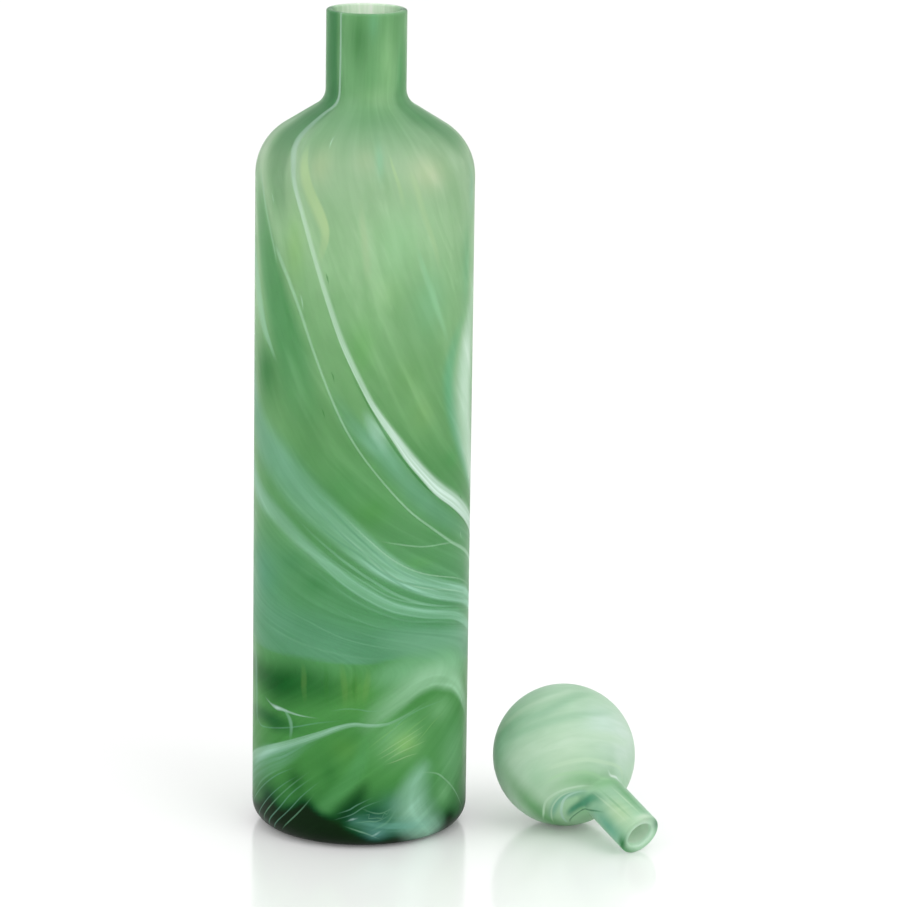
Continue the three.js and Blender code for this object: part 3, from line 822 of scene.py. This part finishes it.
def swirl_glass(name, trails, streaks, wisps):
    """Satin glass: painted clouds, fine streaks along the flow, drawn trails, and milk that dims it."""
    material, tree, shader = new_material(name)
    paint = stored(tree, "paint")
    flow = stored(tree, "flow")["Vector"]
    place = stored(tree, "place")["Vector"]
    tone = remap(tree, noise(tree, flow, *WISP_NOISE), *WISP_SPREAD, 1.0, 1 + wisps)
    for vector, shape in ((place, CLOUD_NOISE), (flow, BROAD_NOISE), (flow, FINE_NOISE)):
        streak = remap(tree, noise(tree, vector, *shape), *NOISE_SPREAD, 1 - streaks, 1 + streaks)
        tone = maths(tree, "MULTIPLY", tone, streak)
    green = maths(tree, "POWER", tone, GREEN_TONE)
    shade = node(tree, "ShaderNodeCombineColor", {0: tone, 1: green, 2: tone}).outputs[0]
    colour = blend(tree, 1.0, paint["Color"], shade, "MULTIPLY")
    uneven = remap(tree, noise(tree, flow, *UNEVEN_NOISE), *UNEVEN_SPREAD, *UNEVEN_COVER)
    colour, milk = lay_trails(tree, colour, paint["Alpha"], uneven, trails)
    satin = noise(tree, place, *SATIN_NOISE)
    inputs = {"Height": satin, "Strength": WAVE_STRENGTH, "Distance": WAVE_DEPTH}
    waves = node(tree, "ShaderNodeBump", inputs)
    fill(tree, shader, {
        "Base Color": colour,
        "Transmission Weight": maths(tree, "MULTIPLY", maths(tree, "SUBTRACT", 1.0, milk), CLEAR),
        "Roughness": remap(tree, satin, *NOISE_SPREAD, *SATIN_ROUGHNESS),
        "Normal": waves.outputs["Normal"],
        "IOR": GLASS_IOR,
        "Specular IOR Level": GLASS_SPECULAR,
    })
    return material


# Stopper colours, upright: degrees round its stem, and height from the ball's centre

STOPPER_HEIGHTS = [
    (-81, (172, 212, 176), 0.3), (-77, (162, 204, 172), 0.3), (-52, (158, 200, 170), 0.3),
    (-40, (154, 202, 158), 0.4), (-30, (174, 210, 176), 0.5), (-10, (182, 214, 186), 0.5),
    (20, (174, 210, 180), 0.5), (42, (160, 202, 170), 0.5),
]

# Painted light: the inside of the hollow stem and ball, and the inner part of the tip, are painted pale for
# the light that reaches in through the bore.
PAINTED_BORE_LIGHT = (208, 250, 206)
BORE_START = 2.5  # in from the tip
PAINTED_TIP_LIGHT = (208, 242, 214)
TIP_FADE = (8.5, 12.0)  # radii between which the painted light on the tip fades out
TIP_LIGHT_SHARE = 0.7

STOPPER_LEAN = np.array([0.3, 0.3, 1.0])  # the milk lies in planes across this direction

# Soft clouds: degrees round the stem, height, half width, half height, colour and strength. Some of them
# are painted light and shade, as noted.
STOPPER_CLOUDS_AND_PAINTED_LIGHT = [
    # the pale clouds at 118 and 96 degrees are painted light on the ball's lit upper side
    (46, -23, 26, 18, (190, 218, 190), 0.8), (118, -26, 26, 24, (208, 228, 216), 0.9),
    (96, -18, 18, 14, (198, 224, 210), 0.8), (8, 18, 26, 16, (164, 210, 180), 0.9),
    (36, 28, 24, 9, (158, 204, 168), 0.7), (10, -20, 12, 9, (164, 206, 170), 0.6),
    # the pale cloud at 46 degrees is a painted highlight along the stem
    (-7, -66, 9, 20, (94, 160, 136), 0.9), (46, -67, 9, 17, (184, 212, 172), 0.9),
    # the dark clouds on the tip at -50 and -18 degrees are painted shade on its lower side
    (98, -58, 6, 26, (116, 168, 120), 0.85), (-50, -79, 12, 4, (96, 156, 106), 0.9),
    (-18, -79, 8, 4, (58, 118, 72), 0.95), (150, -79, 8, 2, (96, 140, 112), 0.9),
    # the pale cloud on the tip at 86 degrees is a painted highlight on its rim
    (86, -78, 9, 3, (206, 228, 202), 0.8),
]

STOPPER_VEILS = [
    # painted shade on the ball's underside
    Trail("painted_ball_underside_shade", (96, 160, 98), 0.3, (1.1, 1.1), 0, [[
        (0, 8, 6, 0), (-12, -10, 12, 0.5), (-24, -20, 14, 0.85), (-40, -25, 14, 0.9), (-62, -28, 12, 0.8),
        (-100, -30, 9, 0)]]),
    # painted shade round the base of the stem
    Trail("painted_stem_base_shade", (130, 186, 132), 0.3, (1, 1), 0, [[
        (0, -28, 4, 0), (28, -34, 6, 0.5), (60, -41, 7, 0.65), (90, -44, 6, 0.55), (125, -46, 4, 0)]]),
    Trail("ball_band_a", (142, 190, 156), 0.3, SOFT, 0, [[
        (-2, 27, 4, 0), (8, 21, 5.5, 0.6), (33, 12, 6, 0.5), (57, 2, 5.5, 0.5), (92, 3, 5, 0.35),
        (115, 6, 4, 0)]]),
    Trail("ball_band_b", (148, 194, 160), 0.3, SOFT, 0, [[
        (12, 14, 4, 0), (22, 8, 5, 0.6), (45, -2, 5, 0.55), (67, -9, 4.5, 0.5), (96, -13, 4, 0.35),
        (129, -9, 3, 0)]]),
    Trail("ball_pale_a", (196, 224, 198), 0.4, SOFT, 0, [[
        (6, 30, 3, 0), (18, 22, 4, 0.5), (49, 15, 4, 0.6), (75, 9, 4, 0.6), (102, 11, 4, 0)]]),
    Trail("ball_pale_b", (194, 222, 196), 0.4, SOFT, 0, [[
        (0, 1, 4, 0), (13, -4, 6, 0.5), (42, -16, 7, 0.7), (71, -24, 6, 0.7), (111, -28, 6, 0.6),
        (140, -26, 4, 0)]]),
    Trail("swirl_fill", (124, 180, 154), 0.4, SOFT, 0, [[
        (-48, -28, 2, 0), (-25, -31, 3.6, 0.85), (-8, -33, 3.8, 0.9), (8, -37, 3.4, 0.85),
        (24, -41, 2.6, 0)]]),
    # painted shade in the corner where the stem meets the ball
    Trail("painted_stem_corner_shade", (80, 148, 116), 0.2, SOFT, 0, [[
        (-48, -35, 2, 0), (-31, -37, 4, 0.9), (-9, -41, 5.4, 0.95), (23, -46, 4.8, 0.8), (36, -55, 3, 0)]]),
]

STOPPER_TRAILS = [
    Trail("ring_high", (196, 224, 194), 0.5, (0.8, 0.8), 0.3, [[
        (16, -21, 1.4, 0), (32, -26, 2, 0.6), (53, -31, 2, 0.7), (83, -36, 1.8, 0.7),
        (126, -38, 1.6, 0.7), (160, -40, 1.4, 0)]]),
    Trail("ring_low", (164, 208, 162), 0.3, (0.8, 0.8), 0.3, [[
        (4, -25, 1.2, 0), (20, -28, 1.6, 0.6), (41, -34, 1.6, 0.7), (71, -40, 1.4, 0.6),
        (107, -44, 1.2, 0)]]),
    Trail("swirl_outer", (192, 222, 194), 0.6, (0.6, 0.6), 0, [[
        (-50, -23, 0.6, 0), (-33, -26, 0.9, 0.8), (-13, -28, 1, 0.9), (4, -32, 1, 0.9),
        (23, -37, 0.9, 0.8), (46, -41, 0.6, 0)]]),
    Trail("swirl_inner", (182, 216, 198), 0.6, (0.6, 0.7), 0, [[
        (-66, -32, 0.6, 0), (-53, -33, 1, 0.8), (-23, -34, 1.2, 0.9), (-3, -35, 1.1, 0.9),
        (12, -37.5, 0.9, 0.7), (28, -41, 0.6, 0)]]),
    thin_lines("stem_pale", (200, 224, 194), 0.3, 0.8, 0.5,
        [(30, -42), (36, -54), (40, -66), (42, -79)], [(76, -46), (80, -57), (83, -68), (85, -79)],
        [(-58, -27), (-40, -29), (-18, -31), (2, -34), (20, -39)]),
    thin_lines("stem_dark", (108, 168, 122), 0.3, 0.9, 0.45,
        [(48, -43), (52, -55), (55, -66), (58, -78)], [(92, -46), (96, -58), (99, -68), (101, -78)]),
    Trail("corner_line", (58, 118, 80), 0, (0.7, 0.7), 0, [[
        (-66, -33, 0.5, 0), (-54, -35, 0.8, 0.8), (-40, -39, 0.8, 0.8), (-18, -46, 0.8, 0.8),
        (0, -52, 0.7, 0.7), (18, -59, 0.5, 0)]]),
    Trail("pulled_end", (214, 232, 220), 0.7, (0.7, 0.7), 0, [[
        (88, -38, 0.6, 0), (99, -40, 1, 0.8), (121, -41, 1.2, 0.9), (128, -45, 1, 0.7),
        (134, -52, 0.6, 0)]]),
]


# The pieces

def store(mesh, name, values, kind="FLOAT_VECTOR", key="vector"):
    """Keeps a value for each point, for the material to read."""
    layer = mesh.attributes.new(name, kind, "POINT")
    layer.data.foreach_set(key, values.astype(np.float32).ravel())


def store_paint(mesh, seen, milk):
    """Keeps the wall's colour for each point, with its milkiness as the fourth value."""
    paint = np.column_stack([wall_colour(seen, milk[:, None]), milk])
    store(mesh, "paint", paint, "FLOAT_COLOR", "color")


def keep_trails(mesh, points, outside, wall, trails):
    """Keeps each trail's field on the outer surface."""
    radius = np.hypot(points[:, 0], points[:, 1])
    outer = radius > radius_at(points[:, 2], outside) - wall / 2
    for trail in trails:
        field = np.tile([OFF_TRAIL, 0, 0], (len(points), 1))
        field[outer] = trail_field(trail, points[outer], outside)
        store(mesh, trail.name, field)


def make_bottle():
    """The bottle, with streaks that follow its turning flow."""
    profile, outside = bottle_profile()
    piece = revolve("swirl_bottle", profile, BOTTLE_SEGMENTS)
    points = read_points(piece.data)
    turn = np.degrees(np.arctan2(points[:, 0], -points[:, 1]))
    flow = smooth_places(BOTTLE_FLOW)
    lag = np.radians(turn - np.interp(points[:, 2], flow[:, 0], flow[:, 1]))
    store(piece.data, "place", points)
    store(piece.data, "flow", np.column_stack([np.cos(lag), np.sin(lag), points[:, 2] / FLOW_HEIGHT]))
    seen, milk = soft_paint(points, outside, BOTTLE_HEIGHTS, BOTTLE_PATCHES, BOTTLE_VEILS)
    store_paint(piece.data, seen, milk)
    keep_trails(piece.data, points, outside, GLASS_WALL, BOTTLE_TRAILS)
    piece.data.transform(Matrix.Scale(MM, 4))
    glass = swirl_glass("swirl_glass", BOTTLE_TRAILS, BOTTLE_STREAKS, BOTTLE_WISPS)
    piece.data.materials.append(glass)
    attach(piece, "bottle")
    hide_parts("bottle")


def lying_matrix():
    """From the upright stopper to the way it lies, on its ball and the edge of its tip."""
    along, across = STEM_REACH - TIP_ROUND, STEM_RADIUS - TIP_ROUND
    drop = math.asin((BALL_RADIUS - TIP_ROUND) / math.hypot(along, across)) - math.atan2(across, along)
    lean = Matrix.Rotation(drop - math.pi / 2, 4, "Y")
    heading = Matrix.Rotation(math.radians(STEM_HEADING), 4, "Z")
    return Matrix.Translation(BALL_CENTRE) @ heading @ lean @ Matrix.Scale(MM, 4)


def make_stopper():
    """The stopper, with its milk in leaning bands, and its bore and tip painted pale for the light that
    reaches into them.
    """
    profile, outside = stopper_profile()
    piece = revolve("ball_stopper", profile, STOPPER_SEGMENTS)
    points = read_points(piece.data)
    store(piece.data, "place", points)
    across = points @ STOPPER_LEAN / np.linalg.norm(STOPPER_LEAN)
    store(piece.data, "flow", np.column_stack([points[:, :2] / FLOW_WIDTH, across / FLOW_DEPTH]))
    seen, milk = soft_paint(points, outside, STOPPER_HEIGHTS, STOPPER_CLOUDS_AND_PAINTED_LIGHT, STOPPER_VEILS)
    radius = np.hypot(points[:, 0], points[:, 1])
    inside = radius < radius_at(points[:, 2], outside) - BALL_WALL / 2
    # painted light inside the bore and the hollow ball
    seen[inside & (points[:, 2] > BORE_START - STEM_REACH)] = linear(PAINTED_BORE_LIGHT)
    # painted light on the tip's inner ring, fading outwards
    at_tip = points[:, 2] < TIP_ROUND - STEM_REACH
    pale = at_tip * TIP_LIGHT_SHARE * (1 - smoothstep(radius, *TIP_FADE))
    seen += (linear(PAINTED_TIP_LIGHT) - seen) * pale[:, None]
    store_paint(piece.data, seen, milk)
    keep_trails(piece.data, points, outside, BALL_WALL, STOPPER_TRAILS)
    piece.data.transform(lying_matrix())
    glass = swirl_glass("milky_glass", STOPPER_TRAILS, STOPPER_STREAKS, STOPPER_WISPS)
    piece.data.materials.append(glass)
    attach(piece, "stopper")
    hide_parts("stopper")


# Studio

def make_camera():
    """The camera at the photograph's place and angle."""
    pitch, yaw, roll = (math.radians(a) for a in (CAMERA_PITCH, CAMERA_YAW, CAMERA_ROLL))
    flat = math.cos(pitch)
    ahead = Vector((math.sin(yaw) * flat, math.cos(yaw) * flat, -math.sin(pitch)))
    level = Vector((math.cos(yaw), -math.sin(yaw), 0))
    upward = level.cross(ahead)
    right = level * math.cos(roll) + upward * math.sin(roll)
    up = upward * math.cos(roll) - level * math.sin(roll)
    data = bpy.data.cameras.new("camera")
    data.sensor_width = SENSOR
    data.lens = FOCAL_PIXELS * SENSOR / IMAGE_SIDE
    camera = bpy.data.objects.new("camera", data)
    turned = Matrix((right, up, -ahead)).transposed().to_4x4()
    camera.matrix_world = Matrix.Translation((0, -CAMERA_DISTANCE * MM, CAMERA_HEIGHT * MM)) @ turned
    bpy.context.scene.collection.objects.link(camera)
    bpy.context.scene.camera = camera


def make_lamp(name, place, size, power):
    """A square soft box pointed at the object."""
    data = bpy.data.lights.new(name, "AREA")
    data.size = size
    data.energy = power
    lamp = bpy.data.objects.new(name, data)
    lamp.location = place
    lamp.rotation_euler = (Vector(LAMP_AIM) - Vector(place)).to_track_quat("-Z", "Y").to_euler()
    bpy.context.scene.collection.objects.link(lamp)


def seen_ray(tree):
    """One for a ray that shows the background to the camera, directly or in gloss or glass."""
    path = node(tree, "ShaderNodeLightPath").outputs
    bounced = maths(tree, "MAXIMUM", path["Is Glossy Ray"], path["Is Transmission Ray"])
    return maths(tree, "MAXIMUM", path["Is Camera Ray"], bounced)


def make_world():
    """White where it is seen, directly or in the glass, and a softer light on the object."""
    world = bpy.data.worlds.new("studio")
    bpy.context.scene.world = world
    world.use_nodes = True
    tree = world.node_tree
    inputs = {"Value": seen_ray(tree), "To Min": WORLD_LIGHT, "To Max": WORLD_SEEN}
    strength = node(tree, "ShaderNodeMapRange", inputs).outputs[0]
    fill(tree, tree.nodes["Background"], {"Color": (1, 1, 1, 1), "Strength": strength})


def make_floor():
    """A pale glossy floor that keeps the object's shadow."""
    mesh = bpy.data.meshes.new("floor")
    corners = [(x * FLOOR_REACH, y * FLOOR_REACH, 0) for x, y in ((-1, -1), (1, -1), (1, 1), (-1, 1))]
    mesh.from_pydata(corners, [], [(0, 1, 2, 3)])
    floor = bpy.data.objects.new("floor", mesh)
    bpy.context.scene.collection.objects.link(floor)
    material, tree, shader = new_material("pale_floor")
    fill(tree, shader, {
        "Base Color": (FLOOR_WHITE, FLOOR_WHITE, FLOOR_WHITE, 1),
        "Roughness": FLOOR_ROUGHNESS,
        "Specular IOR Level": FLOOR_SPECULAR,
        "Emission Color": (1, 1, 1, 1),
        "Emission Strength": maths(tree, "MULTIPLY", seen_ray(tree), FLOOR_GLOW),
    })
    mesh.materials.append(material)


make_camera()
make_bottle()
make_stopper()
make_floor()
make_world()
for lamp in LAMPS:
    make_lamp(*lamp)
bpy.context.scene.view_settings.view_transform = "Standard"
